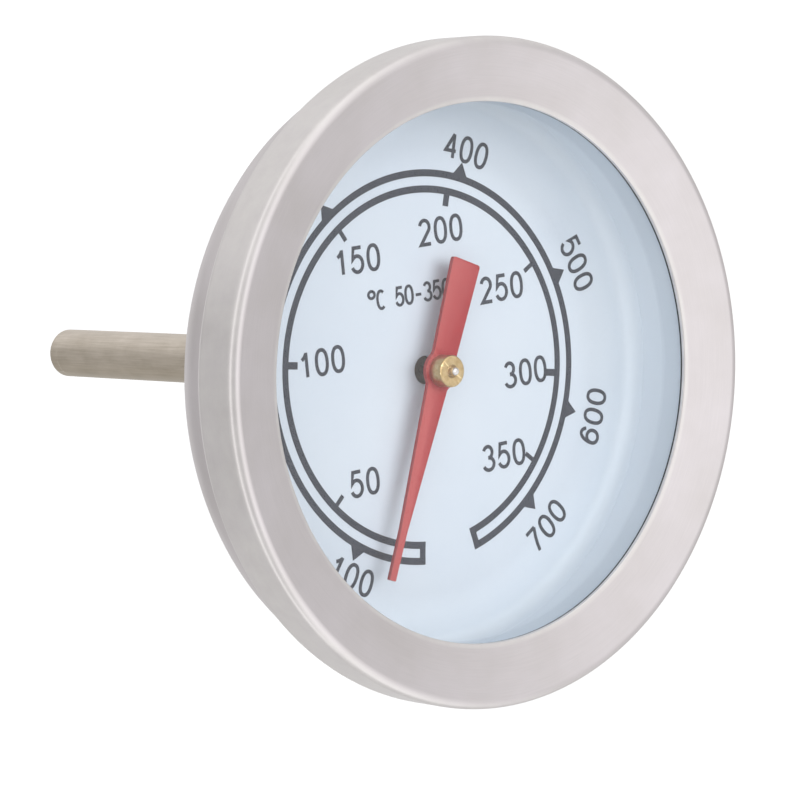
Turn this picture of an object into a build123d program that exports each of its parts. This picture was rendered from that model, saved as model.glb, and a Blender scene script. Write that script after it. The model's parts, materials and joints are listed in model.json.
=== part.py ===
"""Dial oven thermometer with a rear stem, built as separate pieces.

Frame: the stem axis is the Y axis. The dial looks along -Y, the stem runs along +Y, and +Z is the top
of the dial. The origin is on the stem axis, on the flat back of the case, where an oven panel bears.
All sizes are in millimetres. Heights are measured towards the front from the back of the case, so a
height h lies at y = -h, and lengths along the stem are measured towards +Y.
"""

import os
from math import cos, radians, sin

from build123d import *

# Case: a drawn sheet cup with a rounded back corner and an out-turned rim.
SHEET = 0.6
CASE_RADIUS = 28.6
CASE_CORNER = 6.6
RIM_RADIUS = 29.1
RIM_HEIGHT = 7.8
BUSHING_HOLE_GAP = 0.05

# Bezel: a pressed ring round the window, crimped in behind the rim of the case.
BEZEL_RADIUS = 30.1
WINDOW_RADIUS = 24.28
CORNER_HEIGHT = 13.37
CORNER_ROUND = 0.75
CORNER_DEPTH = 1.2
INNER_CORNER_HEIGHT = 12.45
SEAT_RADIUS = 25.6
LIP_SHEET = 0.35
LIP_ROUND = 0.15
BAND_TAPER = 0.04
CRIMP_HEIGHT = 7.35
CRIMP_STEP = 0.75
CRIMP_ROUND = 0.25
BEZEL_SLACK = 0.05
CRIMP_SLACK = 0.02

# Dial pan, spacer, lens and gasket.
DIAL_HEIGHT = 2.2
DIAL_SHEET = 0.5
WELL_RADIUS = 25.8
DIAL_CORNER = 1.5
DIAL_RIM_HEIGHT = 3.8
DIAL_HOLE = 1.3
LENS_BACK_HEIGHT = 9.47
LENS_THICKNESS = 1.8
LENS_RADIUS = 28.9
LENS_CHAMFER = 0.2
GASKET_INNER_RADIUS = 24.31
GASKET_THICKNESS = 0.2
GASKET_OUTER_HEIGHT = 12.3

# Stem tube, its welded end and the threaded bushing that carries it.
STEM_RADIUS = 2.4
STEM_BORE = 1.9
STEM_LENGTH = 53.6
STEM_NECK = 2.2
STEM_END_ROUND = 0.4
PLUG_WALL = 1.4
PLUG_SPIGOT = 2.0
THREAD_RADIUS = 4.0
THREAD_PITCH = 1.25
THREAD_DEPTH = 0.65
THREAD_CREST = 0.02 * THREAD_PITCH
SHANK_LENGTH = 2.5
BUSHING_LENGTH = 14.0
FLANGE_RADIUS = 6.5
FLANGE_THICKNESS = 1.0

# Spindle, its guide bushes and the bimetal coil that turns it.
SPINDLE_RADIUS = 0.375
SPINDLE_FRONT_HEIGHT = 6.5
SPINDLE_END = 27.0
SPINDLE_CHAMFER = 0.1
RUNNING_GAP = 0.045
GUIDE_LENGTH = 2.4
LOWER_GUIDE_START = 17.0
COLLAR_START = 21.5
COLLAR_LENGTH = 2.0
COLLAR_RADIUS = 1.55
COIL_START = 23.6
COIL_TURNS = 14
COIL_PITCH = 1.75
COIL_RADIUS = 1.4
COIL_STRIP_WIDTH = 1.2
COIL_STRIP_THICKNESS = 0.22
ANCHOR_RADIUS = 1.6
ANCHOR_GAP = 0.1

# Pointer and its brass bush. The rest angle is the room temperature reading, clockwise from the top.
POINTER_HEIGHT = 4.4
POINTER_SHEET = 0.4
POINTER_REST_ANGLE = -155.8
POINTER_TIP = 19.65
POINTER_TAIL = 10.4
POINTER_HUB = 1.85
TIP_HALF_WIDTH = 0.36
NEEDLE_START = 15.0
NEEDLE_HALF_WIDTH = 0.39
BLADE_HALF_WIDTH = 1.15
TAIL_HALF_WIDTH = 1.65
TAIL_WAIST_HALF_WIDTH = 1.35
TAIL_CORNER = 0.25
WAIST_ROUND = 0.6
BUSH_RADIUS = 1.46
BUSH_SPIGOT = 0.9
BUSH_TOP_HEIGHT = 5.9
BUSH_FOOT_HEIGHT = 3.2
BUSH_CHAMFER = 0.12

# Washers and nut, at rest behind a panel of the thickness PANEL.
PANEL = 2.5
FLAT_WASHER_RADIUS = 8.5
FLAT_WASHER_BORE = 4.2
FLAT_WASHER_THICKNESS = 1.2
FLAT_WASHER_CHAMFER = 0.15
LOCK_WASHER_RADIUS = 6.6
LOCK_WASHER_BORE = 4.15
LOCK_WASHER_THICKNESS = 1.8
LOCK_WASHER_SLOT = 0.8
LOCK_WASHER_SLOT_TILT = 20.0
NUT_ACROSS_FLATS = 13.0
NUT_THICKNESS = 5.0
NUT_BORE = THREAD_RADIUS + 0.05
NUT_BORE_CHAMFER = 0.35
NUT_FACE_RADIUS = 6.4
NUT_CORNER_RADIUS = 7.9
NUT_CORNER_DROP = 0.7
NUT_GAP = 0.05

# Levels that several pieces share.
RIM_TOP = RIM_HEIGHT + SHEET
DIAL_BACK = DIAL_HEIGHT - DIAL_SHEET
LENS_FRONT = LENS_BACK_HEIGHT + LENS_THICKNESS
LIP_BACK = LENS_FRONT + GASKET_THICKNESS
LIP_FRONT = LIP_BACK + LIP_SHEET
FLANGE_TOP = SHEET + FLANGE_THICKNESS
TUBE_END = STEM_LENGTH - PLUG_WALL
SPIGOT_END = TUBE_END - PLUG_SPIGOT
LOCK_START = PANEL + FLAT_WASHER_THICKNESS
NUT_START = LOCK_START + LOCK_WASHER_THICKNESS + NUT_GAP
NUT_END = NUT_START + NUT_THICKNESS


def outline(*profile):
    """A closed (radius, y) outline, ready to be turned about the stem axis."""
    with BuildSketch(Plane.XY) as section:
        with BuildLine():
            Polyline(*profile, close=True)
        make_face()
    return section.sketch


def wall(outer, inner, start, end):
    """The outline of a plain tube that runs from start to end along the stem axis."""
    return outline((inner, start), (outer, start), (outer, end), (inner, end))


def save(piece, name):
    """Label a finished piece and write its STEP file."""
    piece.part.label = name
    export_step(piece.part, f"parts/{name}.step")


os.makedirs("parts", exist_ok=True)

# ------------------------------------------------------------------ case, bezel and window

case_corner_centre = (CASE_RADIUS - CASE_CORNER, -CASE_CORNER)
case_hole = THREAD_RADIUS + BUSHING_HOLE_GAP
with BuildPart() as case_back:
    with BuildSketch(Plane.XY):
        with BuildLine():
            Polyline((case_hole, -SHEET), (case_hole, 0), (case_corner_centre[0], 0))
            CenterArc(case_corner_centre, CASE_CORNER, 0, 90)
            Polyline(
                (CASE_RADIUS, -CASE_CORNER),
                (CASE_RADIUS, -RIM_HEIGHT),
                (RIM_RADIUS, -RIM_HEIGHT),
                (RIM_RADIUS, -RIM_TOP),
                (CASE_RADIUS - SHEET, -RIM_TOP),
                (CASE_RADIUS - SHEET, -CASE_CORNER),
            )
            CenterArc(case_corner_centre, CASE_CORNER - SHEET, 0, 90)
            Line((case_corner_centre[0], -SHEET), (case_hole, -SHEET))
        make_face()
    revolve(axis=Axis.Y)
save(case_back, "case_back")

# The face rises outwards from the window like a shallow dish and turns over a rounded outer corner.
# Then the band runs back to an edge that is crimped in behind the rim of the case.
band_rear = (BEZEL_RADIUS - BAND_TAPER, -RIM_TOP)
crimp_corner = (BEZEL_RADIUS - CRIMP_STEP, -CRIMP_HEIGHT)
front_corner = (BEZEL_RADIUS, -CORNER_HEIGHT)
window_edge = (WINDOW_RADIUS, -LIP_FRONT)
with BuildPart() as bezel_ring:
    with BuildSketch(Plane.XY) as bezel_section:
        with BuildLine():
            Polyline(
                (WINDOW_RADIUS, -LIP_BACK),
                window_edge,
                front_corner,
                (BEZEL_RADIUS, -CORNER_HEIGHT + CORNER_DEPTH),
                band_rear,
                crimp_corner,
                (CASE_RADIUS + BEZEL_SLACK, -CRIMP_HEIGHT),
                (CASE_RADIUS + BEZEL_SLACK, -RIM_HEIGHT + CRIMP_SLACK),
                (RIM_RADIUS + BEZEL_SLACK, -RIM_HEIGHT + CRIMP_SLACK),
                (RIM_RADIUS + BEZEL_SLACK, -INNER_CORNER_HEIGHT),
                (SEAT_RADIUS, -LIP_BACK),
                close=True,
            )
        make_face()
        fillet(bezel_section.vertices().sort_by_distance(front_corner)[0], CORNER_ROUND)
        fillet(bezel_section.vertices().sort_by_distance(crimp_corner)[0], CRIMP_ROUND)
        fillet(bezel_section.vertices().sort_by_distance(window_edge)[0], LIP_ROUND)
    revolve(axis=Axis.Y)
save(bezel_ring, "bezel_ring")

# The gasket fills the wedge between the lens and the bezel, and its thin inner edge seals the lip.
with BuildPart() as lens_gasket:
    revolve(
        outline(
            (GASKET_INNER_RADIUS, -LENS_FRONT),
            (LENS_RADIUS, -LENS_FRONT),
            (LENS_RADIUS, -GASKET_OUTER_HEIGHT),
            (SEAT_RADIUS, -LIP_BACK),
            (GASKET_INNER_RADIUS, -LIP_BACK),
        ),
        axis=Axis.Y,
    )
save(lens_gasket, "lens_gasket")

with BuildPart() as glass_lens:
    with Locations(Plane.XZ.offset(LENS_BACK_HEIGHT)):
        Cylinder(LENS_RADIUS, LENS_THICKNESS, align=(Align.CENTER, Align.CENTER, Align.MIN))
    chamfer(glass_lens.edges().filter_by(GeomType.CIRCLE), LENS_CHAMFER)
save(glass_lens, "glass_lens")

# The spacer lines the well between the dial and the lens, and its flange carries the lens on the rim.
with BuildPart() as spacer_ring:
    revolve(
        outline(
            (WELL_RADIUS, -DIAL_RIM_HEIGHT),
            (WELL_RADIUS + SHEET, -DIAL_RIM_HEIGHT),
            (WELL_RADIUS + SHEET, -RIM_TOP),
            (LENS_RADIUS, -RIM_TOP),
            (LENS_RADIUS, -LENS_BACK_HEIGHT),
            (WELL_RADIUS, -LENS_BACK_HEIGHT),
        ),
        axis=Axis.Y,
    )
save(spacer_ring, "spacer_ring")

# The dial is a shallow pan: a flat face with a small upturned rim.
dial_corner_centre = (WELL_RADIUS - DIAL_CORNER, -DIAL_HEIGHT - DIAL_CORNER)
with BuildPart() as dial_plate:
    with BuildSketch(Plane.XY):
        with BuildLine():
            Polyline(
                (dial_corner_centre[0], -DIAL_HEIGHT),
                (DIAL_HOLE, -DIAL_HEIGHT),
                (DIAL_HOLE, -DIAL_BACK),
                (dial_corner_centre[0], -DIAL_BACK),
            )
            CenterArc(dial_corner_centre, DIAL_CORNER + DIAL_SHEET, 0, 90)
            Polyline(
                (WELL_RADIUS + DIAL_SHEET, dial_corner_centre[1]),
                (WELL_RADIUS + DIAL_SHEET, -DIAL_RIM_HEIGHT),
                (WELL_RADIUS, -DIAL_RIM_HEIGHT),
                (WELL_RADIUS, dial_corner_centre[1]),
            )
            CenterArc(dial_corner_centre, DIAL_CORNER, 0, 90)
        make_face()
    revolve(axis=Axis.Y)
save(dial_plate, "dial_plate")

# ------------------------------------------------------------------ bushing and stem

# The bushing is pressed through the case from inside: flange, plain shank for the panel, then thread.
groove_count = int((BUSHING_LENGTH - SHANK_LENGTH - THREAD_DEPTH) / THREAD_PITCH)
bushing_profile = [
    (STEM_NECK, -FLANGE_TOP),
    (FLANGE_RADIUS, -FLANGE_TOP),
    (FLANGE_RADIUS, -SHEET),
    (THREAD_RADIUS, -SHEET),
]
for groove in range(groove_count):
    groove_start = SHANK_LENGTH + groove * THREAD_PITCH
    bushing_profile += [
        (THREAD_RADIUS, groove_start),
        (THREAD_RADIUS - THREAD_DEPTH, groove_start + THREAD_PITCH / 2),
        (THREAD_RADIUS, groove_start + THREAD_PITCH - THREAD_CREST),
    ]
bushing_profile += [
    (THREAD_RADIUS, BUSHING_LENGTH - THREAD_DEPTH),
    (THREAD_RADIUS - THREAD_DEPTH, BUSHING_LENGTH),
    (STEM_NECK, BUSHING_LENGTH),
]
with BuildPart() as stem_bushing:
    revolve(outline(*bushing_profile), axis=Axis.Y)
save(stem_bushing, "stem_bushing")

with BuildPart() as stem_tube:
    revolve(
        outline(
            (STEM_BORE, -FLANGE_TOP),
            (STEM_NECK, -FLANGE_TOP),
            (STEM_NECK, BUSHING_LENGTH),
            (STEM_RADIUS, BUSHING_LENGTH),
            (STEM_RADIUS, TUBE_END),
            (STEM_BORE, TUBE_END),
        ),
        axis=Axis.Y,
    )
save(stem_tube, "stem_tube")

with BuildPart() as stem_end_plug:
    revolve(
        outline(
            (0, SPIGOT_END),
            (STEM_BORE, SPIGOT_END),
            (STEM_BORE, TUBE_END),
            (STEM_RADIUS, TUBE_END),
            (STEM_RADIUS, STEM_LENGTH),
            (0, STEM_LENGTH),
        ),
        axis=Axis.Y,
    )
    fillet(stem_end_plug.edges().filter_by(GeomType.CIRCLE).sort_by(Axis.Y)[-1], STEM_END_ROUND)
save(stem_end_plug, "stem_end_plug")

# ------------------------------------------------------------------ guide bushes, spindle and coil

guide_bore = SPINDLE_RADIUS + RUNNING_GAP
with BuildPart() as upper_guide_bush:
    revolve(wall(STEM_BORE, guide_bore, -FLANGE_TOP, GUIDE_LENGTH - FLANGE_TOP), axis=Axis.Y)
save(upper_guide_bush, "upper_guide_bush")

with BuildPart() as lower_guide_bush:
    guide_end = LOWER_GUIDE_START + GUIDE_LENGTH
    revolve(wall(STEM_BORE, guide_bore, LOWER_GUIDE_START, guide_end), axis=Axis.Y)
save(lower_guide_bush, "lower_guide_bush")

with BuildPart() as spindle:
    revolve(wall(SPINDLE_RADIUS, 0, -SPINDLE_FRONT_HEIGHT, SPINDLE_END), axis=Axis.Y)
    chamfer(spindle.edges().filter_by(GeomType.CIRCLE), SPINDLE_CHAMFER)
save(spindle, "spindle")

with BuildPart() as coil_collar:
    collar_end = COLLAR_START + COLLAR_LENGTH
    revolve(wall(COLLAR_RADIUS, SPINDLE_RADIUS, COLLAR_START, collar_end), axis=Axis.Y)
save(coil_collar, "coil_collar")

# The bimetal strip is wound on edge round the axis, from the collar to the fixed anchor.
coil_height = COIL_TURNS * COIL_PITCH
coil_first = COIL_START + COIL_STRIP_WIDTH / 2
with BuildPart() as bimetal_coil:
    with BuildLine() as coil_path:
        Helix(COIL_PITCH, coil_height, COIL_RADIUS, center=(0, coil_first, 0), direction=(0, 1, 0))
    strip_plane = Plane(coil_path.line @ 0, x_dir=(0, 1, 0), z_dir=coil_path.line % 0)
    with BuildSketch(strip_plane):
        Rectangle(COIL_STRIP_WIDTH, COIL_STRIP_THICKNESS)
    sweep(is_frenet=True)
save(bimetal_coil, "bimetal_coil")

anchor_start = coil_first + coil_height + COIL_STRIP_WIDTH / 2 + ANCHOR_GAP
with BuildPart() as coil_anchor:
    revolve(wall(ANCHOR_RADIUS, 0, anchor_start, SPIGOT_END), axis=Axis.Y)
save(coil_anchor, "coil_anchor")

# ------------------------------------------------------------------ pointer

# A clockwise turn seen from the front is a right-hand turn about +Y. Along the pointer plane's own
# Y direction lies the tip, and the tail lies the other way.
rest_turn = radians(POINTER_REST_ANGLE)
pointer_plane = Plane(
    origin=(0, -POINTER_HEIGHT + POINTER_SHEET, 0),
    x_dir=(cos(rest_turn), 0, -sin(rest_turn)),
    z_dir=(0, -1, 0),
)
with BuildPart() as pointer:
    with BuildSketch(pointer_plane) as pointer_outline:
        with BuildLine():
            Polyline(
                (-TIP_HALF_WIDTH, POINTER_TIP),
                (TIP_HALF_WIDTH, POINTER_TIP),
                (NEEDLE_HALF_WIDTH, NEEDLE_START),
                (BLADE_HALF_WIDTH, POINTER_HUB),
                (TAIL_WAIST_HALF_WIDTH, -POINTER_HUB),
                (TAIL_HALF_WIDTH, -POINTER_TAIL),
                (-TAIL_HALF_WIDTH, -POINTER_TAIL),
                (-TAIL_WAIST_HALF_WIDTH, -POINTER_HUB),
                (-BLADE_HALF_WIDTH, POINTER_HUB),
                (-NEEDLE_HALF_WIDTH, NEEDLE_START),
                close=True,
            )
        make_face()
        fillet(pointer_outline.vertices().group_by(Axis.Y)[0], TAIL_CORNER)
        Circle(POINTER_HUB)
        hub_joins = pointer_outline.vertices().sort_by_distance((0, 0))[0:4]
        fillet(hub_joins, WAIST_ROUND)
        Circle(BUSH_SPIGOT, mode=Mode.SUBTRACT)
    extrude(amount=POINTER_SHEET)
save(pointer, "pointer")

with BuildPart() as pointer_bush:
    revolve(
        outline(
            (SPINDLE_RADIUS, -BUSH_FOOT_HEIGHT),
            (BUSH_SPIGOT, -BUSH_FOOT_HEIGHT),
            (BUSH_SPIGOT, -POINTER_HEIGHT),
            (BUSH_RADIUS, -POINTER_HEIGHT),
            (BUSH_RADIUS, -BUSH_TOP_HEIGHT),
            (SPINDLE_RADIUS, -BUSH_TOP_HEIGHT),
        ),
        axis=Axis.Y,
    )
    front_edges = pointer_bush.edges().filter_by(GeomType.CIRCLE).group_by(Axis.Y)[0]
    chamfer(front_edges.sort_by(SortBy.RADIUS)[-1], BUSH_CHAMFER)
save(pointer_bush, "pointer_bush")

# ------------------------------------------------------------------ washers and nut

with BuildPart() as panel_washer:
    revolve(wall(FLAT_WASHER_RADIUS, FLAT_WASHER_BORE, PANEL, LOCK_START), axis=Axis.Y)
    outer_edges = panel_washer.edges().filter_by(GeomType.CIRCLE).sort_by(SortBy.RADIUS)[-2:]
    chamfer(outer_edges, FLAT_WASHER_CHAMFER)
save(panel_washer, "panel_washer")

# The lock washer is split by a slanted slot.
lock_middle_radius = (LOCK_WASHER_RADIUS + LOCK_WASHER_BORE) / 2
lock_middle = LOCK_START + LOCK_WASHER_THICKNESS / 2
slot_plane = Plane(origin=(lock_middle_radius, lock_middle, 0), x_dir=(0, 1, 0), z_dir=(1, 0, 0))
with BuildPart() as lock_washer:
    lock_end = LOCK_START + LOCK_WASHER_THICKNESS
    revolve(wall(LOCK_WASHER_RADIUS, LOCK_WASHER_BORE, LOCK_START, lock_end), axis=Axis.Y)
    with Locations(slot_plane.rotated((0, 0, LOCK_WASHER_SLOT_TILT))):
        Box(2 * LOCK_WASHER_THICKNESS, LOCK_WASHER_SLOT, LOCK_WASHER_BORE, mode=Mode.SUBTRACT)
save(lock_washer, "lock_washer")

# The nut is a hexagonal prism whose corners are turned off at both faces.
with BuildPart() as mounting_nut:
    with BuildSketch(Plane.XZ.offset(-NUT_START)):
        RegularPolygon(NUT_ACROSS_FLATS / 2, 6, major_radius=False)
        Circle(NUT_BORE, mode=Mode.SUBTRACT)
    extrude(amount=-NUT_THICKNESS)
    revolve(
        outline(
            (0, NUT_START),
            (NUT_FACE_RADIUS, NUT_START),
            (NUT_CORNER_RADIUS, NUT_START + NUT_CORNER_DROP),
            (NUT_CORNER_RADIUS, NUT_END - NUT_CORNER_DROP),
            (NUT_FACE_RADIUS, NUT_END),
            (0, NUT_END),
        ),
        axis=Axis.Y,
        mode=Mode.INTERSECT,
    )
    bore_edges = mounting_nut.edges().filter_by(GeomType.CIRCLE).sort_by(SortBy.RADIUS)[0:2]
    chamfer(bore_edges, NUT_BORE_CHAMFER)
save(mounting_nut, "mounting_nut")
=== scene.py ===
"""Looks of the dial oven thermometer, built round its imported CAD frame.

The stem axis is the Y axis, the dial looks along -Y and +Z is its top. Sizes, profiles and drawings are
in millimetres unless a comment says otherwise, and a height of h in front of the case's flat back lies at
y = -h. Angles are in degrees. Meshes are in metres.
"""

import json
from math import acos, ceil, copysign, cos, degrees, pi, radians, sin, sqrt, tan

import bmesh
import bpy
from mathutils import Matrix, Vector
from mathutils.geometry import delaunay_2d_cdt

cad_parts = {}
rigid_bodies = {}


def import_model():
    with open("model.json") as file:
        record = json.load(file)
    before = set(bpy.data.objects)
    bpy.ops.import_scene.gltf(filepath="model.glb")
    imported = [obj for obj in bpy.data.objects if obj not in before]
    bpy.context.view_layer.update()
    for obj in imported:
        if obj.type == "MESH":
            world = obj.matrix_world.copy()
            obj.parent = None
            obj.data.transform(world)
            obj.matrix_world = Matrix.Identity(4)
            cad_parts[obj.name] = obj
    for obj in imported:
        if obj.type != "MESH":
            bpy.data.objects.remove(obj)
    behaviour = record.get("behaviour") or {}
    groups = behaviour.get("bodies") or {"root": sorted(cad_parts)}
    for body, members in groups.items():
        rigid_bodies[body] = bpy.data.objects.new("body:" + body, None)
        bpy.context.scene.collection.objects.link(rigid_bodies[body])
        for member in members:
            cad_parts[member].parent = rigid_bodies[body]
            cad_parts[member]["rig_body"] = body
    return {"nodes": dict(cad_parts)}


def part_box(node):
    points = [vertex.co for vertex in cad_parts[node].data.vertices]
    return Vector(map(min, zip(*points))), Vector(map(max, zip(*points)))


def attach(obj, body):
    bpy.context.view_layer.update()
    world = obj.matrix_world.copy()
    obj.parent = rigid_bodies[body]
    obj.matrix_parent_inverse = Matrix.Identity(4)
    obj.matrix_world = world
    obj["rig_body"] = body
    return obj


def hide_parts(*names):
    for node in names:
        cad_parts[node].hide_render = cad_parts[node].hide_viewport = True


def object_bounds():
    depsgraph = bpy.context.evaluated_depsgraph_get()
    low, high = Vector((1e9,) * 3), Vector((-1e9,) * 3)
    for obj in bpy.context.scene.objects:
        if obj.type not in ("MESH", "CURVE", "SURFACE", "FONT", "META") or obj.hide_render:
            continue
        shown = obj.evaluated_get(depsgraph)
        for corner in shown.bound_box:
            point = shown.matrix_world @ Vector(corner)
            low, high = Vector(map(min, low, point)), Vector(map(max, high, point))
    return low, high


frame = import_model()
cad_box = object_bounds()

MM = 0.001
# Steps of a full turn, for the large pieces and for the small ones.
SEGMENTS = 384
SMALL_SEGMENTS = 128
# Two faces that meet at more than this angle have a sharp edge between them.
SHARP_ANGLE = 38
# Points nearer than TOUCH are the same point, and finished vertices nearer than MERGE become one.
TOUCH = 1e-6
MERGE = 1e-5

# Sheet of the case, and the case itself: its wall, its rounded back corner and its hole.
SHEET = 0.6
CASE_RADIUS = 28.6
CASE_CORNER = 6.6
CASE_HOLE = 4.05

# Bezel: the window and its lip, the dished face and its rounded corner, and the seat on the gasket.
WINDOW_RADIUS = 24.28
LIP_SHEET = 0.35
LIP_ROUND = 0.15
CORNER_HEIGHT = 13.37
CORNER_ROUND = 0.75
CORNER_DEPTH = 1.2
INNER_CORNER_HEIGHT = 12.45
SEAT_RADIUS = 25.6
GASKET_THICKNESS = 0.2

# The bezel's band: its taper, the pocket for the case's rim, and the crimp behind the rim.
BAND_TAPER = 0.04
POCKET_RADIUS = 29.15
CRIMP_STEP = 0.75
CRIMP_RADIUS = 28.65
CRIMP_SHEET = 0.43

# Dial pan and the well round it.
DIAL_HEIGHT = 2.2
DIAL_SHEET = 0.5
DIAL_HOLE = 1.3
WELL_RADIUS = 25.8
DIAL_CORNER = 1.5

# Stem tube: its bore, and its thinner neck inside the bushing.
STEM_BORE = 1.9
STEM_NECK = 2.2

# Print on the dial. Angles run clockwise from the top, and radii from the centre of the print, which
# lies a little off the stem axis. The ink stands proud of the dial, and reaches a little into it.
INK_THICKNESS = 0.03
INK_DEPTH = 0.01
PRINT_SHIFT = (-0.06, 0.25)
SCALE_BANDS = ((15.94, 16.59), (17.41, 18.06))
SCALE_ENDS = (-173.0, 167.5)
# How many steps the lines round the scale take, and how many degrees a step of an oval turns.
BAND_STEPS = 240
OVAL_STEP = 10
CELSIUS_MARKS = {50: -132.2, 100: -80.9, 150: -31.8, 200: 16.3, 250: 61.5, 300: 100.3, 350: 131.3}
FAHRENHEIT_MARKS = {
    100: -146.5,
    200: -88.5,
    300: -32.4,
    400: 20.4,
    500: 70.0,
    600: 111.2,
    700: 142.3,
}
TICK_LENGTH = 1.05
TICK_WIDTH = 0.66
MINOR_TICK_WIDTH = 0.42
ARROW_HEIGHT = 1.15
ARROW_WIDTH = 1.85
CELSIUS_LABELS = {
    50: (12.45, -137.9),
    100: (12.14, -79.2),
    150: (12.71, -32.0),
    200: (12.66, 15.3),
    250: (11.72, 59.3),
    300: (12.28, 100.5),
    350: (12.75, 138.3),
}
FAHRENHEIT_LABELS = {
    100: (20.56, -147.8),
    200: (20.8, -90.0),
    300: (20.9, -34.0),
    400: (20.47, 21.1),
    500: (21.0, 70.7),
    600: (21.56, 111.0),
    700: (21.42, 142.7),
}
# Letters by width and height, the pitch from one to the next, and the width of their strokes.
NUMERAL = (1.22, 2.2)
NUMERAL_PITCH = 1.88
NUMERAL_STROKE = 0.34
NOTE_TEXT = "*C 50-350"
NOTE_PLACE = (-1.1, 6.85)
NOTE_LETTER = (0.82, 1.6)
NOTE_PITCH = 1.12
NOTE_STROKE = 0.27

# Pointer, drawn with its tip up. The needle is its half width where the blade has narrowed, and how
# far out that is.
POINTER_REST_ANGLE = -155.8
POINTER_TIP = 19.65
POINTER_TAIL = 10.4
POINTER_HUB = 1.85
POINTER_HOLE = 0.9
TIP_HALF_WIDTH = 0.36
NEEDLE = (0.39, 15.0)
BLADE_HALF_WIDTH = 1.15
TAIL_HALF_WIDTH = 1.65
TAIL_WAIST_HALF_WIDTH = 1.35
TAIL_CORNER = 0.25
TIP_CORNER = 0.05
WAIST_ROUND = 0.6
WAIST_STEPS = 6

# The brass bush of the pointer: its bore, and how far it is dished round the spindle.
BUSH_BORE = 0.375
BUSH_DISH = 0.25
BUSH_BURR = 0.04

# Thread of the bushing. Its form is given by shares of the pitch, with the depth at each.
THREAD_RADIUS = 4.0
THREAD_PITCH = 1.25
THREAD_DEPTH = 0.65
THREAD_FORM = ((0.0, 0.0), (0.12, 0.0), (0.5, 0.65), (0.66, 0.65))
SHANK_LENGTH = 2.5

# Washers and nut. The nut's corners fall away by NUT_DROP from its face's edge to NUT_REACH beyond.
WASHER_BORE = 4.2
LOCK_WASHER_BORE = 4.15
LOCK_WASHER_SLOT = 0.8
LOCK_WASHER_TILT = 20
LOCK_WASHER_STEPS = 160
NUT_BORE = 4.05
NUT_CHAMFER = 0.35
NUT_FACE = 6.4
NUT_DROP, NUT_REACH = 0.7, 1.5
NUT_SEGMENTS = 192

# Where painted light and shade change: by the distance from the stem axis, and on the stem by the height
# over it.
LIP_HIGHLIGHT = (24.55, 24.8)
CORNER_HIGHLIGHT = (29.4, 29.9)
DIAL_PAINTED_LIGHT = (20.5, 25.5)
STEM_PAINTED_SHADE = (-1.4, 2.2)

# Camera, by its place in millimetres, and its yaw from +Y towards +X, pitch above the horizon and roll.
CAMERA_PLACE = (-223.8, -269.5, 42.37)
CAMERA_YAW = 39.59
CAMERA_PITCH = -7.35
CAMERA_ROLL = -5.47
CAMERA_LENS = 172.8

# Floor, in metres: how far it lies below the part, and its rings.
FLOOR_DROP = 0.25
FLOOR_RINGS = (0.5, 2.0, 8.0, 30.0)
FLOOR_SEGMENTS = 96

# Light from all round. Each level goes from one strength to another while the direction's part along
# an axis goes from one value to another: up for ceiling and ground, to the front left for the back.
CEILING_LIGHT, CEILING_EDGE = (0.4, 0.78), (0.0, 0.6)
GROUND_LIGHT, GROUND_EDGE = (0.65, 0.38), (-0.6, -0.1)
FRONT_LEFT = (-0.643, -0.766, 0.0)
BACK_LIGHT, BACK_EDGE = (0.4, 0.6), (-0.5, -0.1)
BACKDROP_LIGHT, BACKDROP_EDGE = (0.74, 0.4), (-0.85, -0.6)
# Two tall softboxes, by their azimuth to the right of the front, and where their light starts and ends.
KEY_AZIMUTH, KEY_LEFT, KEY_RIGHT, KEY_FRONT = 3, (-0.5, -0.15), (0.1, 0.95), (-0.05, 0.25)
STRIP_AZIMUTH, STRIP_SIDE, STRIP_FRONT = -87, (0.12, 0.35), (0.0, 0.3)
BOX_LIGHT, GAP_LIGHT, SIDE_LIGHT, BEHIND_LIGHT, STRIP_DIM = 1.13, 0.55, 0.63, 0.5, 0.4
# The share of the light from all round that reaches matt surfaces.
MATT_SHARE = 0.5
# Two broad lamps: name, azimuth to the right of the front, elevation, strength and spread in degrees.
SUNS = (("key_light", 10, 9, 1.8, 45), ("side_light", -40, 4, 1.45, 60))


# ------------------------------------------------------------------ outlines

def arc_steps(radius, turn):
    """How many steps an arc takes: more for a larger radius and a longer turn."""
    return max(2, ceil(turn / radians(90) * (5 + 3 * sqrt(radius))))


def rounded(*corners):
    """The closed outline through (x, y, radius) corners, each with an arc of its radius."""
    outline = []
    for index, (x, y, radius) in enumerate(corners):
        corner = Vector((x, y))
        before = (Vector(corners[index - 1][:2]) - corner).normalized()
        after = (Vector(corners[(index + 1) % len(corners)][:2]) - corner).normalized()
        inside = acos(max(-1, min(1, before.dot(after))))
        if radius <= 0 or inside > radians(179):
            outline.append((x, y))
            continue
        reach = radius / tan(inside / 2)
        centre = corner + (before + after).normalized() * radius / sin(inside / 2)
        first = corner + before * reach - centre
        last = corner + after * reach - centre
        steps = arc_steps(radius, pi - inside)
        for step in range(steps + 1):
            outline.append(tuple(centre + radius * first.slerp(last, step / steps)))
    return outline


def at_clock(radius, angle):
    """The point at a radius and an angle clockwise from the top."""
    return radius * sin(radians(angle)), radius * cos(radians(angle))


# ------------------------------------------------------------------ meshes

def finish_mesh(name, mesh_data):
    """An object from a bmesh, with faces that look outwards, smooth but for its real corners."""
    bmesh.ops.remove_doubles(mesh_data, verts=mesh_data.verts, dist=MERGE * MM)
    bmesh.ops.recalc_face_normals(mesh_data, faces=mesh_data.faces)
    mesh = bpy.data.meshes.new(name)
    mesh_data.to_mesh(mesh)
    mesh_data.free()
    mesh.shade_smooth()
    mesh.set_sharp_from_angle(angle=radians(SHARP_ANGLE))
    piece = bpy.data.objects.new(name, mesh)
    bpy.context.scene.collection.objects.link(piece)
    return piece


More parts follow.
